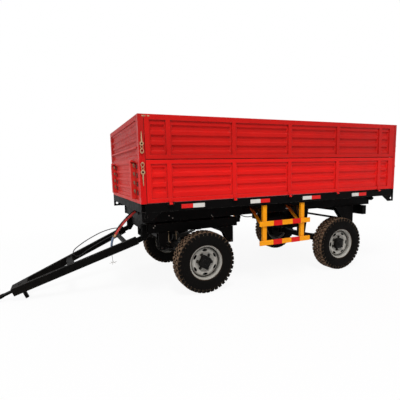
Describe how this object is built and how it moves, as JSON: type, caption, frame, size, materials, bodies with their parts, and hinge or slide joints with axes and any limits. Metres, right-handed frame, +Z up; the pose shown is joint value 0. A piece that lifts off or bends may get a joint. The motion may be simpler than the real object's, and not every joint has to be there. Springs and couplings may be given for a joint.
{
  "type": "farm dump trailer",
  "caption": "Drop-sided rear-tipping farm trailer on two axles, with turntable steering, an A-frame drawbar and a two-tier boarded bed.",
  "frame": {"origin": "on the ground, below the middle of the overall length and width as it stands parked", "axes": "+X forwards to the hitch eye, +Y to the vehicle's left, +Z up"},
  "size_m": [5.765, 2.085, 2.206],
  "materials": {
    "red_paint": "satin",
    "black_paint": "satin",
    "yellow_paint": "satin",
    "silver_paint": "satin",
    "hub_black": "satin",
    "tyre_rubber": "matte",
    "spring_steel": "matte",
    "zinc_plate": "satin",
    "floor_steel": "matte",
    "chrome_rod": "polished",
    "red_hose": "satin",
    "blue_hose": "satin",
    "black_hose": "satin"
  },
  "bodies": {
    "chassis": {"chassis_rails": "black_paint", "chassis_cross_members": "black_paint", "turntable_upper": "black_paint", "rear_axle": "black_paint", "rear_springs": "spring_steel", "rear_hangers": "black_paint", "rear_brakes": "black_paint", "side_guards": "yellow_paint", "cylinder_cradle": "black_paint", "red_hose": "red_hose", "grey_hose": "blue_hose", "hanging_wire": "black_hose"},
    "bogie": {"bogie_rails": "black_paint", "bogie_cross_members": "black_paint", "turntable_lower": "black_paint", "front_axle": "black_paint", "front_springs": "spring_steel", "front_hangers": "black_paint", "front_brakes": "black_paint"},
    "drawbar": {"drawbar_frame": "black_paint", "hitch_eye": "black_paint", "drawbar_cable": "black_hose"},
    "leg": {"stand_leg": "black_paint"},
    "bed": {"bed_sub_rails": "black_paint", "bed_side_rails": "black_paint", "bed_cross_members": "black_paint", "bed_floor": "floor_steel", "headboard": "red_paint", "corner_posts": "red_paint", "latches": "zinc_plate"},
    "cylinder": {"cylinder_barrel": "black_paint"},
    "stage_1": {"cylinder_stage_1": "chrome_rod"},
    "stage_2": {"cylinder_stage_2": "chrome_rod"},
    "stage_3": {"cylinder_stage_3": "chrome_rod"},
    "wheel_front_left": {"tyre_front_left": "tyre_rubber", "rim_front_left": "silver_paint", "hub_front_left": "hub_black"},
    "wheel_front_right": {"tyre_front_right": "tyre_rubber", "rim_front_right": "silver_paint", "hub_front_right": "hub_black"},
    "wheel_rear_left": {"tyre_rear_left": "tyre_rubber", "rim_rear_left": "silver_paint", "hub_rear_left": "hub_black"},
    "wheel_rear_right": {"tyre_rear_right": "tyre_rubber", "rim_rear_right": "silver_paint", "hub_rear_right": "hub_black"},
    "side_lower_left": {"lower_board_left": "red_paint"},
    "side_upper_left": {"upper_board_left": "red_paint"},
    "side_lower_right": {"lower_board_right": "red_paint"},
    "side_upper_right": {"upper_board_right": "red_paint"},
    "gate_lower": {"lower_tailgate": "red_paint"},
    "gate_upper": {"upper_tailgate": "red_paint"}
  },
  "joints": [
    {"name": "steer", "type": "hinge", "parent": "chassis", "child": "bogie", "pos_m": [0.389, 0, 0.925], "axis": [0, 0, 1], "range_deg": [-90, 90], "deforming": ["red_hose", "grey_hose", "hanging_wire"]},
    {"name": "front_left_wheel", "type": "hinge", "parent": "bogie", "child": "wheel_front_left", "pos_m": [0.389, 0.81, 0.4025], "axis": [0, 1, 0], "continuous": true},
    {"name": "front_right_wheel", "type": "hinge", "parent": "bogie", "child": "wheel_front_right", "pos_m": [0.389, -0.81, 0.4025], "axis": [0, 1, 0], "continuous": true},
    {"name": "rear_left_wheel", "type": "hinge", "parent": "chassis", "child": "wheel_rear_left", "pos_m": [-1.886, 0.81, 0.4025], "axis": [0, 1, 0], "continuous": true},
    {"name": "rear_right_wheel", "type": "hinge", "parent": "chassis", "child": "wheel_rear_right", "pos_m": [-1.886, -0.81, 0.4025], "axis": [0, 1, 0], "continuous": true},
    {"name": "drawbar_lift", "type": "hinge", "parent": "bogie", "child": "drawbar", "pos_m": [1.093, 0, 0.73], "axis": [0, 1, 0], "range_deg": [-60, 4], "deforming": ["drawbar_cable"]},
    {"name": "leg_slide", "type": "slide", "parent": "drawbar", "child": "leg", "axis": [0.3576, 0, 0.9339], "range_m": [0, 0.11]},
    {"name": "bed_tip", "type": "hinge", "parent": "chassis", "child": "bed", "pos_m": [-2.841, 0, 1.04], "axis": [0, -1, 0], "range_deg": [0, 40]},
    {"name": "cylinder_swing", "type": "hinge", "parent": "chassis", "child": "cylinder", "pos_m": [-1.257, 0, 0.76], "axis": [0, -1, 0], "range_deg": [0, 55.92]},
    {"name": "stage_1_slide", "type": "slide", "parent": "cylinder", "child": "stage_1", "axis": [0.8141, 0, 0.5807], "range_m": [0, 0.3564]},
    {"name": "stage_2_slide", "type": "slide", "parent": "stage_1", "child": "stage_2", "axis": [0.8141, 0, 0.5807], "range_m": [0, 0.3564]},
    {"name": "stage_3_slide", "type": "slide", "parent": "stage_2", "child": "stage_3", "axis": [0.8141, 0, 0.5807], "range_m": [0, 0.3564]},
    {"name": "lower_board_left_drop", "type": "hinge", "parent": "bed", "child": "side_lower_left", "pos_m": [-0.777, 1.0295, 1.204], "axis": [-1, 0, 0], "range_deg": [0, 175]},
    {"name": "upper_board_left_swing", "type": "hinge", "parent": "bed", "child": "side_upper_left", "pos_m": [-0.777, 0.9915, 2.192], "axis": [1, 0, 0], "range_deg": [0, 90]},
    {"name": "lower_board_right_drop", "type": "hinge", "parent": "bed", "child": "side_lower_right", "pos_m": [-0.777, -1.0295, 1.204], "axis": [1, 0, 0], "range_deg": [0, 175]},
    {"name": "upper_board_right_swing", "type": "hinge", "parent": "bed", "child": "side_upper_right", "pos_m": [-0.777, -0.9915, 2.192], "axis": [-1, 0, 0], "range_deg": [0, 90]},
    {"name": "lower_tailgate_drop", "type": "hinge", "parent": "bed", "child": "gate_lower", "pos_m": [-2.869, 0, 1.204], "axis": [0, 1, 0], "range_deg": [-175, 0]},
    {"name": "upper_tailgate_swing", "type": "hinge", "parent": "bed", "child": "gate_upper", "pos_m": [-2.831, 0, 2.192], "axis": [0, 1, 0], "range_deg": [0, 90]}
  ],
  "couplings": [
    {"joint": "cylinder_swing", "follows": "bed_tip", "ratio": 1.3856},
    {"joint": "stage_1_slide", "follows": "bed_tip", "m_per_rad": 0.50762},
    {"joint": "stage_2_slide", "follows": "bed_tip", "m_per_rad": 0.50762},
    {"joint": "stage_3_slide", "follows": "bed_tip", "m_per_rad": 0.50762}
  ]
}
